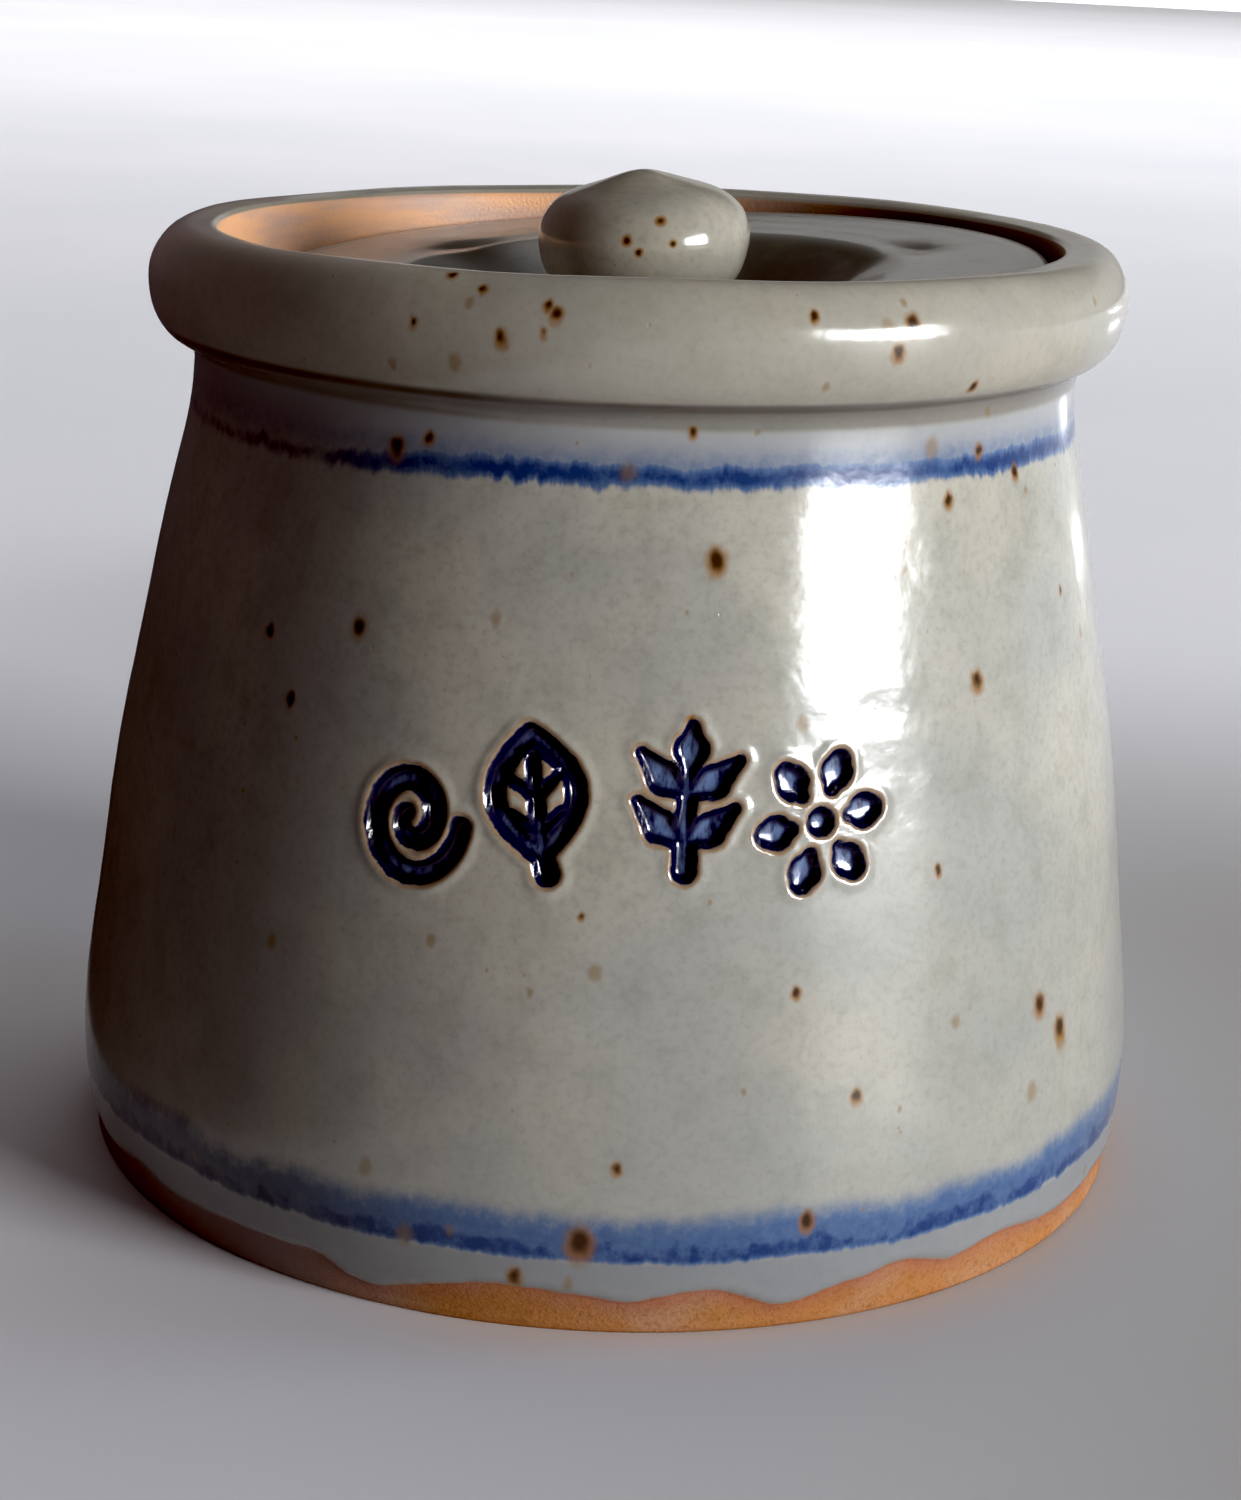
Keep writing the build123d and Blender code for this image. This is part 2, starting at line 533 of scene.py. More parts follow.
# Height of the glaze's lower edge above the foot, seen from the front; the rest is made up.
glaze_line_points = (
    (-43, 4.5), (-37, 4.7), (-32, 4.7), (-27, 4.5), (-25, 3.1), (-19, 3.2), (-11, 5.3), (-3, 5.0), (5, 4.4),
    (12, 5.6), (18, 3.2), (23, 4.0), (29, 5.4), (32, 5.8), (38, 4.4), (44, 5.4), (54, 4.1), (61, 4.2),
)
seen_line = smooth_line(glaze_line_points)


def glaze_line(azimuth):
    """Height of the wavy lower edge of the glaze at each azimuth."""
    made_up = 4.5 + 0.8 * ripples(21, azimuth, np.zeros(1), 16)
    seen = np.interp(azimuth, seen_line[:, 0], seen_line[:, 1])
    share = blend_in(azimuth, -52, -43) * blend_in(azimuth, 70, 61)
    return made_up + (seen - made_up) * share + 0.15 * ripples(22, azimuth, np.zeros(1), 4)


# Soft dents in the wall, or bumps where the depth is below 0: (azimuth, height, reach around,
# reach up, depth), and the wall's radius about there
wall_dents = (
    (33.5, 79.0, 2.2, 1.6, 0.13),
    (29.5, 72.5, 3.0, 0.9, 0.03),
    (28.2, 65.8, 1.8, 1.4, 0.035),
    (38.0, 87.0, 4.5, 3.2, -0.17),
    (36.5, 71.0, 4.5, 7.0, 0.10),
    (15.5, 67.0, 3.0, 4.0, -0.08),
    (13.0, 86.0, 4.0, 5.0, 0.10),
    (19.5, 63.5, 2.5, 1.8, 0.05),
)
dented_radius = 53


def dents(azimuth, height):
    """The relief of the wall's soft dents and bumps in mm."""
    total = np.zeros(np.broadcast(azimuth, height).shape)
    for middle, level, around, up, depth in wall_dents:
        sideways = np.radians(azimuth - middle) * dented_radius / around
        total -= depth * np.exp(-(sideways**2 + ((height - level) / up) ** 2) / 2)
    return total


def pot_piece():
    """The turned pot with its relief, which replaces the CAD pot."""
    line = pot_outline()
    along = lengths_along(line)
    height = line[:, 1]
    lip = length_to(line, (gallery_top_radius, pot_height - lip_fall))
    tip = length_to(line, (mouth_radius, ledge_height))
    neck = length_to(line, (neck_radius, neck_height))
    foot = length_to(line, (foot_radius, 0))
    outside = (along > foot) & (along < neck)
    # Distance between rows in mm: close at the foot, the stamps, the rim and the gallery
    spacing = np.full(len(line), 4.5)
    spacing[outside] = 1.5
    spacing[(along > foot - 2) & (along < foot + 9)] = 0.6
    spacing[outside & (height > 44.5) & (height < 67)] = 0.34
    spacing[(along >= neck) & (along < lip)] = 0.75
    spacing[(along >= lip - 1) & (along < tip + 5)] = 0.8
    half_kernel = 20
    kernel = np.hanning(2 * half_kernel + 1)
    padded = np.pad(spacing, half_kernel, mode="edge")
    spacing = np.convolve(padded, kernel / kernel.sum(), mode="valid")
    rows = spread(along, spacing)
    line = at_length(line, rows)
    # Degrees between columns: close across the stamps
    degrees = np.linspace(-180, 180, 3601)
    columns = 1.6 - 1.265 * blend_in(degrees, -34, -30) * blend_in(degrees, 36, 32)
    azimuths = spread(degrees, columns)[:-1]

    rows_inner = rows[1:-1, None]
    inner = line[1:-1]
    azimuth = azimuths[None, :]
    height = inner[:, 1:]
    is_outside = (rows_inner < neck).astype(float)
    # How far each point lies inside the glazed part in mm, and below 0 on bare clay. The glaze's
    # edge at the foot doesn't count above the neck and inside the pot.
    beyond_count = 99
    from_foot = height - glaze_line(azimuth) + beyond_count * (rows_inner > neck)
    from_gallery = np.maximum(lip + 0.1 - rows_inner, rows_inner - tip - 0.6)
    glaze = np.minimum(from_foot, from_gallery)
    stamp = np.where(rows_inner < neck, stamp_distance(azimuth, height, inner[:, :1]), stamp_far)

    def relief(azimuth, inner):
        # Where each part of the relief lies
        on_wall = blend_in(rows_inner, foot, foot + 6) * blend_in(rows_inner, neck + 4, neck - 4)
        on_rim = blend_in(rows_inner, neck, neck + 6) * blend_in(rows_inner, lip + 2, lip - 2)
        on_both = on_wall + on_rim
        within = blend_in(rows_inner, tip, tip + 8)
        # Throwing rings, lumps and dents
        spiral = 2 * math.pi * (height / 5.6 + azimuth / 360)
        rings = np.sin(spiral + 0.9 * ripples(3, azimuth, height, 30))
        strength = 0.6 + 0.4 * ripples(4, azimuth, height, 25)
        total = 0.013 * rings * strength * on_wall
        total += 0.10 * ripples(5, azimuth, height, 34) * on_both
        total += 0.012 * ripples(6, azimuth, height, 9) * on_both
        total += dents(azimuth, height) * on_wall
        # A fuller rim, an outline that isn't quite round, and rings inside
        total += 0.13 * np.exp(-(((height - 103.9) / 2) ** 2)) * on_rim
        total += 0.22 * np.cos(np.radians(2 * azimuth + 40)) * on_both
        total += 0.28 * np.sin(2 * math.pi * (height / 7.5 + azimuth / 360)) * within
        # The glaze ends in a step with a bead, and the stamps are pressed in with a raised edge
        total -= 0.28 * blend_in(from_foot, 0.5, 0) * blend_in(rows_inner, foot, foot + 1.5)
        total += 0.12 * np.exp(-(((from_foot - 0.7) / 0.7) ** 2))
        pressed = blend_in(-stamp, -0.15, 0.55) + 0.12 * blend_in(-stamp, 0.5, 1.6)
        total -= stamp_depth * pressed * is_outside
        total += 0.16 * np.exp(-(((stamp - 0.55) / 0.55) ** 2)) * is_outside
        return total

    values = {"glaze": glaze, "stamp": stamp, "outside": (rows_inner < lip).astype(float)}
    piece = turned_piece("salt_jar_pot", line, azimuths, relief, upright, values)
    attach(piece, "pot")
    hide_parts("pot")
    return piece


# Two shallow dips in the lid's flange, which also carry painted shade: (azimuth, distance from the axis)
flange_dips = ((105.5, 33.7), (-134.3, 30.8))


def lid_piece():
    """The turned lid with its relief, which replaces the CAD lid."""
    line = lid_outline()
    along = lengths_along(line)
    corner = length_to(line, (lid_radius, 0))
    spacing = np.where(along < corner - 3, 2.5, 0.6)
    rows = spread(along, spacing)
    line = at_length(line, rows)
    azimuths = np.linspace(-180, 180, 360, endpoint=False)
    rows_inner = rows[1:-1, None]
    inner = line[1:-1]
    azimuth = azimuths[None, :]
    edge_top = corner + flange_thickness
    bare_to = corner + 1.3 + 0.4 * ripples(31, azimuth, np.zeros(1), 14)
    glaze = np.maximum(rows_inner - bare_to, corner - 10 - rows_inner)

    def relief(azimuth, inner):
        above = blend_in(rows_inner, edge_top, edge_top + 3)
        rings = np.sin(2 * math.pi * (inner[:, :1] / 4.4 + azimuth / 360))
        total = 0.008 * rings * above
        total += 0.06 * ripples(7, azimuth, inner[:, :1], 26, around=30) * above
        for middle, reach in flange_dips:
            sideways = np.radians(azimuth - middle) * reach
            total -= 0.3 * np.exp(-((sideways / 5) ** 2 + ((inner[:, :1] - reach) / 2.5) ** 2)) * above
        total += 0.2 * blend_in(glaze, 0, 0.6) * above
        return total * blend_in(inner[:, :1], 2, 9)

    piece = turned_piece("dished_lid", line, azimuths, relief, leaning, {"glaze": glaze})
    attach(piece, "lid")
    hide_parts("lid")
    return piece


def knob_piece():
    """The turned knob with its relief, which replaces the CAD knob."""
    line = knob_outline()
    along = lengths_along(line)
    spacing = np.where(along < knob_foot_radius - 1, 2.0, 0.38)
    rows = spread(along, spacing)
    line = at_length(line, rows)
    azimuths = np.linspace(-180, 180, 200, endpoint=False)

    def relief(azimuth, inner):
        height = inner[:, 1:] - well_floor
        total = 0.10 * ripples(8, azimuth, height, 16, around=11)
        total += 0.03 * np.sin(2 * math.pi * (height / 3.6 + azimuth / 360))
        return total * blend_in(height, 1, 4) * blend_in(inner[:, :1], 0.5, 3)

    piece = turned_piece("turned_knob", line, azimuths, relief, leaning)
    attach(piece, "lid")
    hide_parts("knob")
    return piece


def linear(code):
    """A hexadecimal screen colour as a linear one."""
    parts = [int(code[k : k + 2], 16) / 255 for k in (0, 2, 4)]
    return tuple(p / 12.92 if p <= 0.04045 else ((p + 0.055) / 1.055) ** 2.4 for p in parts) + (1.0,)


class Finish:
    """A material whose nodes are wired by plain calls. A value is a socket, number or colour."""

    def __init__(self, name):
        self.material = bpy.data.materials.new(name)
        self.material.use_nodes = True
        self.tree = self.material.node_tree
        self.tree.nodes.clear()

    def node(self, kind, inputs, **settings):
        """A node with these settings, and with its inputs fed by their names or numbers."""
        made = self.tree.nodes.new(kind)
        for key, value in settings.items():
            setattr(made, key, value)
        for key, value in inputs.items():
            if isinstance(value, bpy.types.NodeSocket):
                self.tree.links.new(value, made.inputs[key])
            else:
                made.inputs[key].default_value = value
        return made

    def math(self, operation, *values):
        return self.node("ShaderNodeMath", dict(enumerate(values)), operation=operation).outputs[0]

    def add(self, first, *others):
        for other in others:
            first = self.math("ADD", first, other)
        return first

    def times(self, first, *others):
        for other in others:
            first = self.math("MULTIPLY", first, other)
        return first

    def either(self, first, second):
        return self.math("MAXIMUM", first, second)

    def less(self, first, second):
        return self.math("SUBTRACT", first, second)

    def vector_math(self, operation, *values, output="Vector"):
        inputs = dict(enumerate(values))
        return self.node("ShaderNodeVectorMath", inputs, operation=operation).outputs[output]

    def rise(self, value, start, end):
        """0 at start, 1 at end, smooth between; it falls when end is below start."""
        falls = end < start
        inputs = {
            "Value": value,
            "From Min": min(start, end),
            "From Max": max(start, end),
            "To Min": 1 if falls else 0,
            "To Max": 0 if falls else 1,
        }
        made = self.node("ShaderNodeMapRange", inputs, interpolation_type="SMOOTHSTEP")
        return made.outputs["Result"]

    def between(self, value, start, full, fading, end):
        """1 from full to fading, 0 before start and after end, and smooth between them."""
        return self.times(self.rise(value, start, full), self.rise(value, end, fading))

    def sway(self, noise, reach):
        """The noise as a shift up and down, by at most half the reach either way."""
        return self.times(self.less(noise, 0.5), reach)

    def span(self, value, start, end):
        """From start to end as value goes from 0 to 1."""
        inputs = {"Value": value, "To Min": start, "To Max": end}
        return self.node("ShaderNodeMapRange", inputs).outputs["Result"]

    def place(self, stretch=(1, 1, 1)):
        """The object's own coordinates in millimetres, each multiplied as given."""
        coordinates = self.node("ShaderNodeTexCoord", {}).outputs["Object"]
        return self.vector_math("MULTIPLY", coordinates, [share / metre for share in stretch])

    def noise(self, where, wavelength, detail=2.0, roughness=0.5, output="Fac"):
        inputs = {"Vector": where, "Scale": 1 / wavelength, "Detail": detail, "Roughness": roughness}
        return self.node("ShaderNodeTexNoise", inputs).outputs[output]

    def wander(self, where, wavelength, reach):
        """The place moved about by noise, by up to about the reach."""
        noise = self.noise(where, wavelength, 1, output="Color")
        centred = self.vector_math("SUBTRACT", noise, (0.5,) * 3)
        return self.vector_math("MULTIPLY_ADD", centred, (2 * reach,) * 3, where)

    def mix(self, share, below, above):
        """From the colour below to the one above as share goes from 0 to 1."""
        inputs = {0: share, 6: below, 7: above}
        return self.node("ShaderNodeMix", inputs, data_type="RGBA").outputs[2]

    def tinted(self, below, above, share, *shares):
        """The colour below with the one above laid over it, as strongly as the shares say."""
        return self.mix(self.times(share, *shares), below, above)

    def attribute(self, name):
        return self.node("ShaderNodeAttribute", {}, attribute_name=name).outputs["Fac"]

    def along(self, where, axis):
        return self.node("ShaderNodeSeparateXYZ", {0: where}).outputs[axis]

    def nearest(self, where, spots):
        """Distance to the nearest spot, as a share of its radius; a spot is (x, y, z, radius)."""
        best = None
        for x, y, z, radius in spots:
            away = self.vector_math("DISTANCE", where, (x, y, z), output="Value")
            share = self.math("DIVIDE", away, radius)
            best = share if best is None else self.math("MINIMUM", best, share)
        return best

    def scattered(self, where, cell, smallest, largest, chance):
        """Scattered round spots: 1 in their middle and 0 outside, in cells of the given size."""
        inputs = {"Vector": where, "Scale": 1 / cell, "Randomness": 1}
        made = self.node("ShaderNodeTexVoronoi", inputs, feature="F1")
        away = self.times(made.outputs["Distance"], cell)
        split = self.node("ShaderNodeSeparateColor", {0: made.outputs["Color"]})
        there = self.math("LESS_THAN", split.outputs[0], chance)
        radius = self.span(split.outputs[1], smallest, largest)
        inside = self.math("DIVIDE", away, radius)
        return self.times(self.rise(inside, 1.0, 0.35), there)

    def surface(self, colour, roughness, coat, bump_height, coat_roughness=0.13, glow=0.0):
        """The finished material; bump_height is in mm, and glow is how much colour it gives off."""
        bump = self.node("ShaderNodeBump", {"Strength": 1, "Distance": metre, "Height": bump_height})
        inputs = {
            "Base Color": colour,
            "Roughness": roughness,
            "Specular IOR Level": 0.04,
            "Coat Weight": coat,
            "Coat Roughness": coat_roughness,
            "Coat IOR": 1.6,
            "Emission Color": colour,
            "Emission Strength": glow,
            "Normal": bump.outputs["Normal"],
            "Coat Normal": bump.outputs["Normal"],
        }
        shader = self.node("ShaderNodeBsdfPrincipled", inputs)
        self.node("ShaderNodeOutputMaterial", {"Surface": shader.outputs[0]})
        return self.material


# Colours
warm_grey = linear("B1ADA2")
cool_grey = linear("A3A29C")
warm_rim = linear("A9A292")
pale_blue_grey = linear("989A9D")
lid_grey = linear("8A8D90")
soft_cobalt = linear("536A8C")
deep_cobalt = linear("24406F")
stamp_blue = linear("12183C")
stamp_floor_blue_and_sheen = linear("67789A")
iron_dark = linear("2E1B0C")
iron_orange = linear("8F6226")
buff_clay = linear("A87A52")
pale_clay = linear("AA866C")
gallery_clay = linear("D2A480")
gallery_pink_sheen = linear("B3998C")
gallery_shade_brown = linear("4E3220")
cove_shade_grey = linear("787570")
flash_red = linear("98645A")
crease_brown_and_shade = linear("4A3826")
mottle_grey = linear("85887E")
grain_grey = linear("75756A")
foot_grey = linear("8A8A86")
strip_grey = linear("7F8388")
shaded_blue = linear("4E5A6A")
shaded_navy = linear("28364C")
stain_brown = linear("84683A")
sand_brown = linear("85572F")
coarse_brown = linear("6E4A34")
shaded_clay = linear("8C8286")
thin_glaze = linear("8C8070")
well_shade_brown = linear("3E382C")
floor_pale = linear("EDEDF0")
floor_paler = linear("F2F1F4")
floor_shade_grey = linear("8E8A86")
wall_pale = linear("DADADC")
wall_paler = linear("E2E2E4")
card_brown = (0.042, 0.028, 0.030, 1)
card_plum = (0.028, 0.024, 0.030, 1)

# Iron specks seen from the front: (azimuth, height, radius). The dark ones have a black-brown
# middle, and the soft ones are only a stain.
dark_specks = (
    (9.9, 80.7, 1.0), (-29.5, 71.5, 0.93), (-42, 69, 0.74), (-37.3, 62.7, 0.84), (7.5, 65.5, 0.4),
    (6.9, 93.2, 0.5), (42.6, 67, 0.85), (35.3, 48.4, 0.53), (18.7, 37.5, 0.52), (25.3, 25.8, 0.63),
    (20.3, 12.8, 0.85), (-1.4, 11, 1.37), (53, 86.9, 0.65), (39.9, 85.2, 0.63), (45.6, 89.8, 0.64),
    (61.9, 73.5, 0.45), (-2.7, 45.5, 0.41), (-7.4, 6.5, 0.85), (1.7, 19.5, 0.52), (-23.6, 91.1, 0.6),
    (-27.7, 89.8, 0.95), (50.5, 30.3, 1.0), (54.3, 26.6, 1.1), (39.1, 97.4, 0.62), (-13.6, 102.6, 0.69),
    (-9.2, 103.3, 0.49), (-9, 105.8, 0.59), (-8.1, 104.9, 0.69), (-16.2, 107, 0.5), (27.7, 101.7, 0.7),
    (18.2, 105.3, 0.5), (-20.2, 108, 0.6), (29.5, 104.4, 0.81), (88.7, 108.1, 0.59), (-23.1, 103.5, 0.5),
)
soft_specks = (
    (-13.7, 74.3, 0.61), (-1.2, 39.9, 0.71), (37.3, 31.7, 0.64), (54.4, 25.4, 1.1), (48.6, 21.2, 0.89),
    (13.6, 27.4, 0.31), (-17.5, 41.4, 0.52), (-7.4, 37.2, 0.41), (-35.6, 37.6, 0.64), (-2.3, 6.3, 0.64),
    (-18.2, 9.7, 0.96), (-13.7, 11.1, 0.53), (-22.5, 16.4, 0.74), (55.2, 84.9, 0.33), (37.4, 90.8, 0.84),
    (47, 93.8, 0.43), (-0.3, 89.2, 0.8), (14.3, 93.3, 0.3), (67.7, 68.1, 0.55), (62.9, 6.3, 0.59),
    (30.2, 23.6, 0.32), (33.0, 79.0, 0.45), (19.5, 65.0, 0.75), (20.0, 98.5, 0.4), (-17.3, 105.7, 0.5),
    (-18.5, 100, 0.7), (-25.7, 99.3, 0.5), (-4.5, 100.6, 0.29), (26.4, 104, 0.8), (28.8, 106.5, 0.4),
    (65.7, 108.4, 0.44), (61.2, 104.8, 0.44),
)
# Painted shade in the flange's two dips, as points in mm with a radius
well_shade_spots = ((-22, 21.5, 103, 6.5), (32.5, 9, 105.7, 4.2))
# (azimuth, height, radius)
knob_specks = ((-8.6, 108, 0.68), (9.8, 110.3, 0.68), (-2.3, 106.6, 0.56), (15.7, 107.8, 0.45))


# Specks are taller than wide, because the glaze ran: heights count for less in their distance.
run_squeeze = 0.72
# Some length along the pot's outline past the rim's top and before the inside wall, in mm
along_past_rim = 190


def radius_at(line, height):
    return line[np.argmin(abs(line[:, 1] - height)), 0]


def on_line(line, specks, scale=1.0, lift=0.0):
    """The specks as points on the turned line: (x, y, squeezed z, radius) in mm. Their radius is
    multiplied by scale, and they move up by lift times their radius."""
    spots = []
    for azimuth, height, size in specks:
        radius = radius_at(line, height)
        turn = math.radians(azimuth)
        x, y = radius * math.sin(turn), -radius * math.cos(turn)
        z = height + slump(x, y, blend_in(height, slump_start, neck_height)) + lift * size
        spots.append((x, y, z * run_squeeze, size * scale))
    return spots


def knob_spots():
    """The knob's specks as points in mm."""
    line = knob_outline()
    spots = []
    for azimuth, height, size in knob_specks:
        turn = math.radians(azimuth)
        own_height = (height - lid_centre[2]) / lid_axis[2]
        middle = lid_centre + lid_axis * own_height
        radius = radius_at(line, own_height)
        x = middle[0] + radius * math.sin(turn)
        y = middle[1] - radius * math.cos(turn)
        spots.append((x, y, height + slump(x, y, 1), size))
    return spots


def mottled(made, colour, place, size, mottle_share):
    """The glaze colour with darker mottling of the given size and a fine grain."""
    mottle = made.noise(place, size, 4, 0.6)
    grain = made.noise(place, 0.9, 3, 0.6)
    colour = made.tinted(colour, mottle_grey, made.rise(mottle, 0.42, 0.75), mottle_share)
    return made.tinted(colour, grain_grey, made.rise(grain, 0.4, 0.85), 0.3)


def bump_heights(made, place, glazed, smooth_height):
    """The fine relief in mm: the glaze's own where it is glazed, and sand on the bare clay."""
    sandy = made.times(made.noise(place, 0.45, 3, 0.7), 0.10)
    return made.add(made.times(smooth_height, glazed), made.times(sandy, made.less(1.0, glazed)))


# Zones of the glaze outside on the pot, where it is warmer or cooler, and the cove under the
# rim in painted shade: (colour, share, and the heights where the zone starts, is full, fades and
# ends)
glaze_zones = (
    (warm_rim, 0.4, 95, 97, 200, 201),
    (pale_blue_grey, 0.8, 88.5, 90.5, 93.6, 94.8),
    (strip_grey, 0.7, -2, -1, 8.5, 9.5),
    (cove_shade_grey, 0.75, 93.7, 94.5, 96.8, 97.6),
)


def pot_glaze(made, place, height, outside):
    """Grey glaze, darker towards the foot, with its zones, painted shade in the cove under the rim, and
    brown glaze with painted shade in the crease.
    """
    cloud = made.noise(place, 24, 2)
    colour = made.mix(made.rise(cloud, 0.35, 0.65), warm_grey, cool_grey)
    colour = mottled(made, colour, place, 5, 0.35)
    colour = made.tinted(colour, foot_grey, made.rise(height, 62, 14), 0.3)
    for zone_colour, share, *heights in glaze_zones:
        zone = made.between(height, *heights)
        colour = made.tinted(colour, zone_colour, zone, outside, share)
    # The crease under the rim: brown glaze where it broke at the edge, and painted shade
    crease = made.between(height, 95.9, 96.6, 96.8, 97.6)
    crease = made.times(crease, made.span(made.noise(place, 7, 2), 0.35, 1.2))
    return made.tinted(colour, crease_brown_and_shade, crease, outside, 0.75)


def with_cobalt(made, colour, place, height, outside, shaded_left_side):
    """A thin blue line under the neck and a wide band above the foot, with runny lower edges, darker and
    fainter on the left as painted shade.
    """
    streaks = made.noise(made.place((1, 1, 0.15)), 1.6, 3, 0.6)
    slow = made.noise(made.place((1, 1, 0.3)), 14, 2)
    drips = made.sway(streaks, made.span(made.noise(place, 9, 2), -0.6, 4.2))
    runs = made.add(drips, made.sway(slow, 2.0))
    above_line = made.add(made.less(height, 88.45), runs, made.times(shaded_left_side, 1.5))
    line_core = made.between(above_line, -0.9, 0.8, 0.8, 2.9)
    line_core = made.times(line_core, made.span(shaded_left_side, 1, 0.35))
    haze_share = made.span(shaded_left_side, 0.3, 0.2)
    line_haze = made.times(made.rise(above_line, -0.5, 0.5), made.rise(height, 94.5, 90), haze_share)
    strength = made.span(made.noise(place, 6, 3, 0.6), 0.2, 1.55)
    upper = made.either(made.times(line_core, strength), line_haze)
    above_band = made.add(made.less(height, 9.0), made.times(runs, 0.7))
    soft_top = made.add(above_band, made.sway(slow, 3.5))
    band_start = made.rise(above_band, -0.5, 0.5)
    band_body = made.times(band_start, made.rise(soft_top, 7.2, 2.4), 0.55)
    dashes = made.span(made.noise(made.place((1, 1, 0.5)), 3.2, 3, 0.6), 0.15, 1.45)
    uneven = made.add(above_band, made.sway(made.noise(place, 4.5, 3), 4.5))
    band_edge = made.times(band_start, made.rise(uneven, 4.2, 0.8), dashes)
    lower = made.either(band_body, band_edge)
    cobalt = made.either(upper, lower)
    cobalt = made.times(cobalt, outside, made.span(made.noise(place, 1.4, 4, 0.7), 0.4, 1.55))
    soft_blue = made.mix(shaded_left_side, soft_cobalt, shaded_blue)
    deep_blue = made.mix(shaded_left_side, deep_cobalt, shaded_navy)
    colour = made.mix(made.rise(cobalt, 0.02, 0.5), colour, soft_blue)
    return made.mix(made.rise(cobalt, 0.42, 0.95), colour, deep_blue)


def with_specks(made, colour, shaded_left_side):
    """Iron specks on the pot: the seen ones, and scattered ones all round."""
    line = pot_outline()
    along = lengths_along(line)
    outer = line[(along > foot_radius) & (along < along_past_rim)]
    outer = outer[: np.argmax(outer[:, 1])]
    run_place = made.place((1, 1, run_squeeze))
    shaky = made.wander(run_place, 1.1, 0.3)
    strong = made.nearest(shaky, on_line(outer, dark_specks, 1.12))
    middle = made.nearest(shaky, on_line(outer, dark_specks, 0.9, 0.25))
    soft = made.nearest(shaky, on_line(outer, soft_specks))
    few = made.scattered(run_place, 9, 0.3, 0.8, 0.22)
    fine = made.scattered(run_place, 3.1, 0.12, 0.34, 0.3)
    stain = made.either(made.rise(soft, 1.5, 0.4), made.times(made.rise(few, 0.05, 0.7), 0.8))
    colour = made.tinted(colour, stain_brown, stain, 0.5)
    # The orange rings fade on the shaded left side: painted shade
    ring = made.times(made.rise(strong, 1.5, 0.6), made.span(shaded_left_side, 0.75, 0.2))
    colour = made.mix(ring, colour, iron_orange)
    core = made.either(made.rise(middle, 1.2, 0.35), made.times(made.rise(few, 0.75, 1.0), 0.5))
    colour = made.tinted(colour, iron_dark, core, 0.9)
    return made.tinted(colour, iron_orange, fine, 0.45)


def with_stamps(made, colour, place):
    """Dark blue glaze in the stamped recesses, thin and brown along their edges, and paler on their floors,
    partly as painted sheen.
    """
    stamp = made.attribute("stamp")
    wavering = made.add(stamp, made.sway(made.noise(place, 1.3, 2), 0.5))
    edge = made.between(wavering, -0.1, 0.25, 0.3, 0.75)
    colour = made.tinted(colour, iron_orange, edge, 0.55)
    colour = made.mix(made.rise(wavering, 0.22, 0.0), colour, stamp_blue)
    # Paler floors of the recesses: paler glaze and painted sheen
    floor_sheen_streaks = made.rise(made.noise(made.place((1, 1, 0.3)), 1.1, 3, 0.6), 0.34, 0.62)
    return made.tinted(colour, stamp_floor_blue_and_sheen, made.rise(stamp, -0.6, -1.15), floor_sheen_streaks)


def bare_clay(made, place, height, inside, glaze, shaded_left_side):
    """Sandy clay at the foot, flashed red along the glaze's edge and in painted shade at the left, and paler
    clay in the gallery, with a pink painted sheen and painted shade at its right.
    """
    sand = made.noise(place, 0.5, 4, 0.7)
    clay = made.mix(made.rise(made.noise(place, 8, 3), 0.35, 0.7), buff_clay, pale_clay)
    clay = made.tinted(clay, sand_brown, made.rise(sand, 0.45, 0.7), 0.55)
    coarse = made.noise(place, 1.3, 3, 0.7)
    clay = made.tinted(clay, coarse_brown, made.rise(coarse, 0.55, 0.8), 0.5)
    clay = made.mix(inside, clay, gallery_clay)
    # Pinker clay patches in the gallery that also stand in for its sheen: painted sheen
    pink_sheen = made.times(inside, made.rise(made.noise(made.place((0.4, 0.4, 2.0)), 6, 4), 0.36, 0.66), 0.85)
    clay = made.mix(pink_sheen, clay, gallery_pink_sheen)
    # The gallery's right part, which is in shade, turns brown: painted shade
    gallery_right_shade = made.rise(made.along(place, "X"), -5, 38)
    clay = made.tinted(clay, gallery_shade_brown, inside, gallery_right_shade, 0.8)
    flash = made.either(made.rise(glaze, -1.0, 0.0), made.times(made.rise(glaze, -2.8, -0.3), 0.6))
    flash = made.times(flash, made.span(made.noise(place, 6, 3), 0.2, 1.25))
    at_foot = made.rise(height, 30, 20)
    clay = made.tinted(clay, flash_red, flash, at_foot)
    # The foot's clay gets painted shade at the left side
    return made.tinted(clay, shaded_clay, shaded_left_side, at_foot, 0.8)


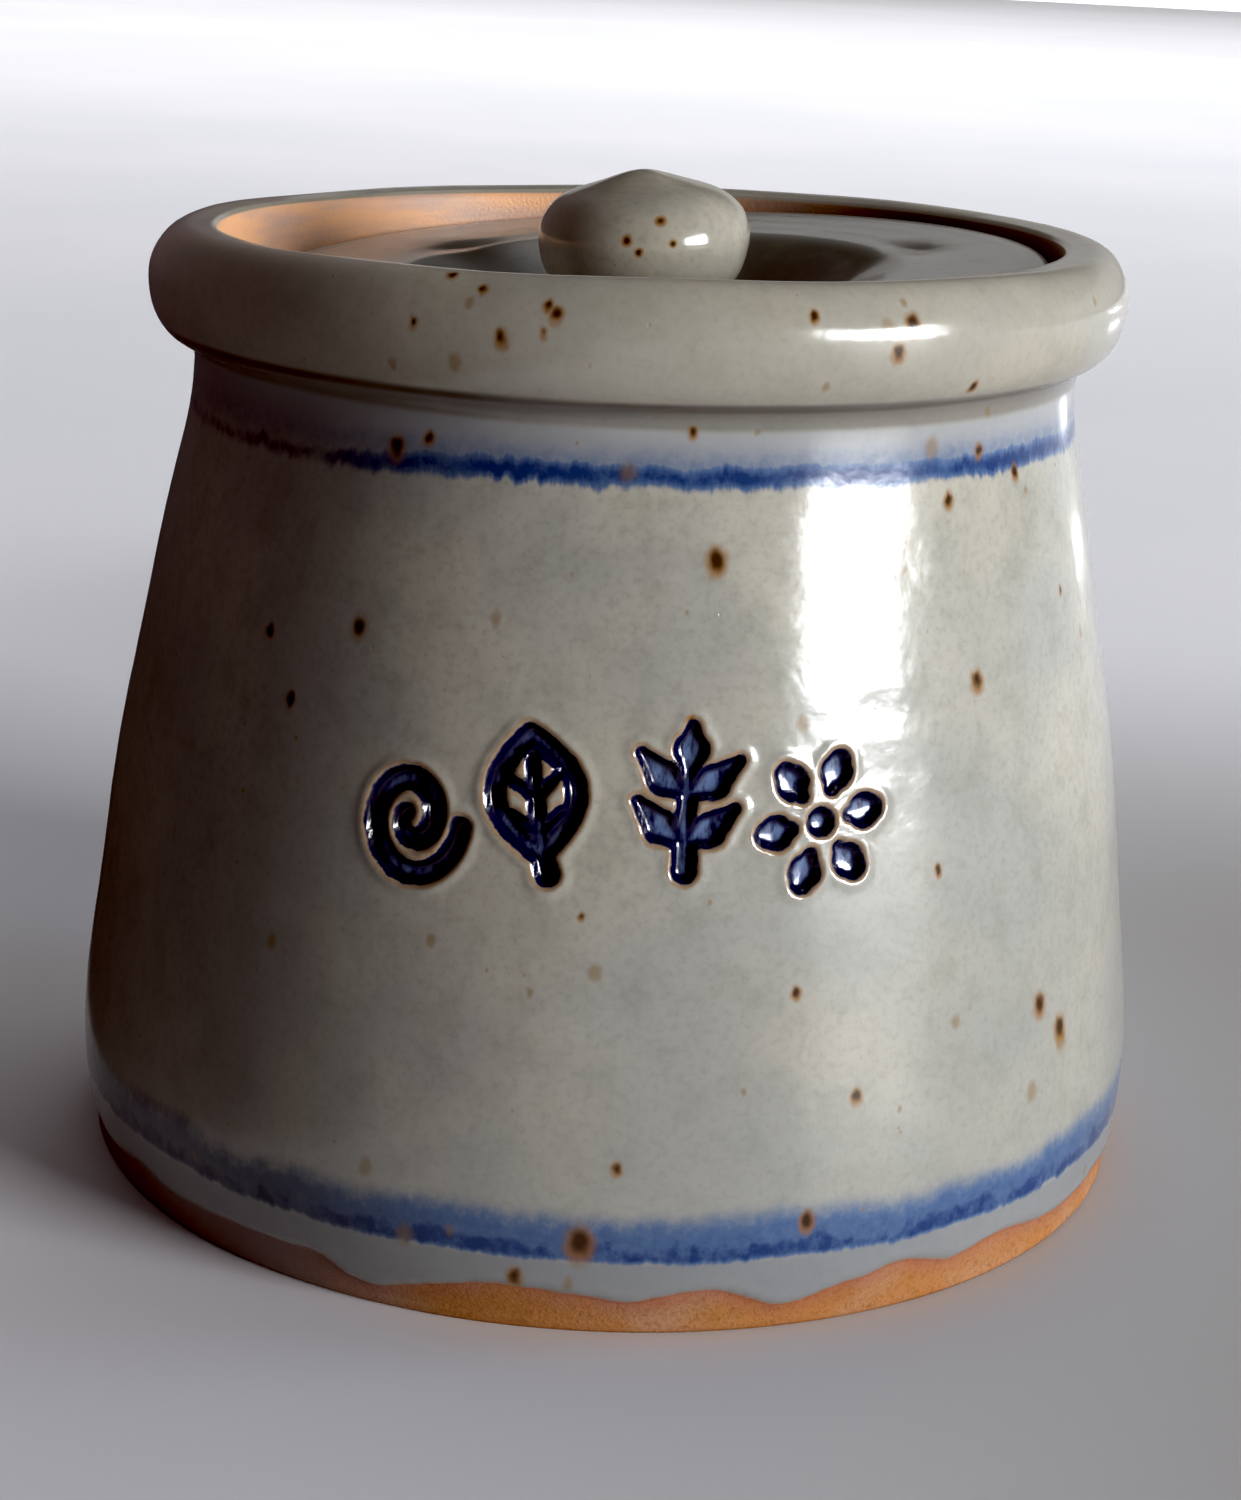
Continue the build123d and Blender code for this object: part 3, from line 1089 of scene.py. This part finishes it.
def pot_finish():
    made = Finish("banded_grey_glaze")
    place = made.place()
    height = made.along(place, "Z")
    outside = made.attribute("outside")
    # The jar's left side, which is in shade: the colours darken there as painted shade
    shaded_left_side = made.rise(made.along(place, "X"), -14, -36)
    inside = made.rise(height, 60, 80)
    colour = pot_glaze(made, place, height, outside)
    colour = with_cobalt(made, colour, place, height, outside, shaded_left_side)
    colour = with_specks(made, colour, shaded_left_side)
    colour = with_stamps(made, colour, place)

    glaze = made.attribute("glaze")
    glazed = made.rise(glaze, -0.12, 0.12)
    colour = made.tinted(colour, thin_glaze, made.rise(glaze, 0.7, 0.1), 0.5)
    clay = bare_clay(made, place, height, inside, glaze, shaded_left_side)
    colour = made.mix(glazed, clay, colour)
    peel = made.times(made.noise(place, 1.7, 2), 0.028)
    lumps = made.times(made.noise(place, 5.2, 2), 0.060)
    pits = made.times(made.scattered(place, 4.3, 0.1, 0.28, 0.3), -0.03)
    bump = bump_heights(made, place, glazed, made.add(peel, lumps, pits))
    roughness = made.span(glazed, 0.8, 0.34)
    coat = made.either(glazed, made.times(inside, 0.35))
    return made.surface(colour, roughness, coat, bump, made.span(glazed, 0.35, 0.17))


def lid_finish(name, specks, bare_edge):
    """The glaze of the lid, whose edge is bare and whose well has painted shade, or of the knob, which has
    seen specks.
    """
    made = Finish(name)
    place = made.place()
    cloud = made.noise(place, 18, 2)
    colour = made.mix(made.rise(cloud, 0.35, 0.65), warm_grey, cool_grey)
    colour = made.mix(0.5, colour, lid_grey if bare_edge else warm_rim)
    if bare_edge:
        # The right part of the well and the flange's two dips get painted shade
        from_middle = made.nearest(place, [(*(lid_centre + 3 * lid_axis), 1)])
        well_shade = made.times(made.rise(from_middle, 31, 27), made.rise(made.along(place, "X"), 2, 14))
        shade_patches = made.nearest(made.wander(place, 6, 1.5), well_shade_spots)
        shade_patches = made.rise(shade_patches, 1.4, 0.3)
        colour = made.tinted(colour, well_shade_brown, made.either(well_shade, shade_patches), 0.7)
    colour = mottled(made, colour, place, 4, 0.3)
    few = made.scattered(place, 8, 0.3, 0.8, 0.3)
    fine = made.scattered(place, 3.1, 0.12, 0.3, 0.25)
    halo = made.times(made.rise(few, 0.05, 0.7), 0.6)
    core = made.times(made.rise(few, 0.6, 1.0), 0.7)
    if specks:
        spots = made.nearest(made.wander(place, 1.4, 0.28), specks)
        halo = made.either(halo, made.rise(spots, 1.35, 0.75))
        core = made.either(core, made.rise(spots, 0.85, 0.35))
    colour = made.tinted(colour, iron_orange, halo, 0.75)
    colour = made.tinted(colour, iron_dark, core, 0.9)
    colour = made.tinted(colour, iron_orange, fine, 0.55)
    peel = made.times(made.noise(place, 1.7, 2), 0.012)
    lumps = made.times(made.noise(place, 5.2, 2), 0.055)
    smooth_height = made.add(peel, lumps)
    if not bare_edge:
        return made.surface(colour, 0.34, 1.0, smooth_height)
    glaze = made.attribute("glaze")
    sand = made.noise(place, 0.5, 4, 0.7)
    clay = made.tinted(pale_clay, buff_clay, made.rise(sand, 0.5, 0.75), 0.35)
    glazed = made.rise(glaze, -0.12, 0.12)
    colour = made.mix(glazed, clay, colour)
    bump = bump_heights(made, place, glazed, smooth_height)
    return made.surface(colour, made.span(glazed, 0.8, 0.34), made.times(glazed, 0.75), bump)


def floor_finish():
    """A pale floor with painted shade towards the front and the right."""
    made = Finish("pale_floor")
    place = made.place()
    cloud = made.noise(place, 300, 3)
    grain = made.noise(place, 2, 3)
    colour = made.mix(made.rise(cloud, 0.3, 0.7), floor_pale, floor_paler)
    to_right = made.rise(made.along(place, "X"), -40, 100)
    to_front = made.rise(made.along(place, "Y"), 260, 60)
    colour = made.tinted(colour, floor_shade_grey, to_right, to_front, 0.68)
    return made.surface(colour, 0.45, 0.0, made.times(grain, 0.01))


def backdrop_finish():
    """A pale backdrop that shines by itself."""
    made = Finish("pale_backdrop")
    cloud = made.noise(made.place(), 900, 3)
    colour = made.mix(made.rise(cloud, 0.3, 0.7), wall_pale, wall_paler)
    return made.surface(colour, 0.8, 0.0, made.times(cloud, 0.01), glow=1.0)


def card_finish():
    """Dark brown, glowing faintly and a little brighter towards its top, as a painted reflection in the
    glaze at the jar's left.
    """
    made = Finish("shade_card")
    place = made.place()
    cloud = made.noise(place, 60, 3)
    colour = made.mix(made.rise(cloud, 0.3, 0.7), card_brown, card_plum)
    glow = made.span(made.rise(made.along(place, "Z"), 40, 110), 0.5, 1.6)
    return made.surface(colour, 0.8, 0.0, made.times(cloud, 0.01), glow=glow)


pot = pot_piece()
lid = lid_piece()
knob = knob_piece()
pot.data.materials.append(pot_finish())
lid.data.materials.append(lid_finish("grey_lid_glaze", None, True))
knob.data.materials.append(lid_finish("grey_knob_glaze", knob_spots(), False))


def studio_piece(name, points, faces, material):
    """A plain mesh of the studio, which isn't part of the jar."""
    mesh = bpy.data.meshes.new(name)
    mesh.from_pydata(points, [], faces)
    mesh.materials.append(material)
    piece = placed(name, mesh)
    return piece


half_floor = 12.0
floor_corners = [(x * half_floor, y * half_floor, 0) for x, y in ((-1, -1), (1, -1), (1, 1), (-1, 1))]
studio_piece("floor", floor_corners, [(0, 1, 2, 3)], floor_finish())

# A pale wall all round, which only the camera sees
wall_radius, wall_height = 4.1, 3.0
corners = [
    (wall_radius * math.cos(turn), wall_radius * math.sin(turn)) for turn in np.radians(np.arange(0, 360, 5))
]
count = len(corners)
wall = studio_piece(
    "backdrop",
    [(x, y, z) for z in (0, wall_height) for x, y in corners],
    [(k, (k + 1) % count, (k + 1) % count + count, k + count) for k in range(count)],
    backdrop_finish(),
)
for ray in ("diffuse", "glossy", "shadow"):
    setattr(wall, f"visible_{ray}", False)

# Camera, where the photo was taken from
camera_data = bpy.data.cameras.new("camera")
camera = placed("camera", camera_data)
bpy.context.scene.camera = camera
camera_data.lens = 70.79
camera_data.sensor_width = 36
camera_data.clip_start = 0.01
camera_place = Vector((0, -0.34184, 0.14687))
pitch_down, roll, yaw = 0.2878, 0.0464, 0.0011
ahead = Vector(
    (math.sin(yaw) * math.cos(pitch_down), math.cos(yaw) * math.cos(pitch_down), -math.sin(pitch_down))
)
right = ahead.cross(Vector((0, 0, 1))).normalized()
above = right.cross(ahead)
camera_right = math.cos(roll) * right + math.sin(roll) * above
camera_up = -math.sin(roll) * right + math.cos(roll) * above
camera.matrix_world = Matrix.Translation(camera_place) @ Matrix(
    (camera_right, camera_up, -ahead)
).transposed().to_4x4()


def panel(name, direction, distance, size, power, colour):
    """A soft light panel that faces the jar; direction is its azimuth and elevation."""
    azimuth, elevation = direction
    data = bpy.data.lights.new(name, "AREA")
    data.shape = "RECTANGLE"
    data.size, data.size_y = size
    data.energy = power
    data.color = colour
    lamp = placed(name, data)
    lamp.visible_camera = False
    turn, lift = math.radians(azimuth), math.radians(elevation)
    away = Vector(
        (math.sin(turn) * math.cos(lift), -math.cos(turn) * math.cos(lift), math.sin(lift))
    )
    lamp.location = Vector((0, 0, 0.06)) + away * distance
    lamp.rotation_mode = "QUATERNION"
    lamp.rotation_quaternion = (-away).to_track_quat("-Z", "Y")
    return lamp


# The tall highlight, light from above that faces straight down, and a cool fill at the right.
# The light from above and the fill don't show in the glaze.
panel("window", (57.5, 11.1), 3.0, (1.33, 0.82), 128, (0.965, 0.98, 1.0))
ceiling = panel("ceiling", (180, 48), 2.6, (4.0, 3.0), 28, (0.97, 0.98, 1.0))
far_light = panel("far_light", (180, 28), 2.8, (5.0, 2.4), 55, (0.98, 0.98, 1.0))
side_fill = panel("side_fill", (100, 32), 3.0, (1.0, 1.0), 10, (0.6, 0.8, 1.0))
for lamp in (ceiling, far_light):
    lamp.rotation_quaternion = (1, 0, 0, 0)
for lamp in (ceiling, far_light, side_fill):
    lamp.visible_glossy = False
# A wide glow behind the jar, and two small glints at its right edge
panel("wall_glow", (162, 8.5), 5.5, (11.0, 1.5), 24, (1.0, 1.0, 1.0))
for name, azimuth, height in (("glint_low", 141.5, 0.010), ("glint_high", 138, 0.060)):
    glint = panel(name, (azimuth, 0), 0.57, (0.05, 0.012), 0.014, (1.0, 1.0, 1.0))
    glint.location.z = height

# A dark card at the left keeps the light that the floor throws back away from that side. The
# camera doesn't see it, and it casts no shadow. Its faint glow shows in the glaze as a painted
# reflection.
card_foot = ((-0.038, -0.31), (-0.085, -0.18), (-0.072, 0.32))
card_height = 0.3
card = studio_piece(
    "shade_card",
    [(x, y, z) for z in (0, card_height) for x, y in card_foot],
    [(0, 1, 4, 3), (1, 2, 5, 4)],
    card_finish(),
)
card.visible_camera = False
card.visible_shadow = False

world = bpy.data.worlds.new("studio")
world.use_nodes = True
bpy.context.scene.world = world
background = world.node_tree.nodes["Background"]
background.inputs["Color"].default_value = (0.9, 0.72, 0.55, 1)
background.inputs["Strength"].default_value = 0.03
view = bpy.context.scene.view_settings
view.view_transform = "Standard"
view.gamma = 0.86
view.use_curve_mapping = True
view.curve_mapping.black_level = (0.017, 0.024, 0.028)
view.curve_mapping.update()
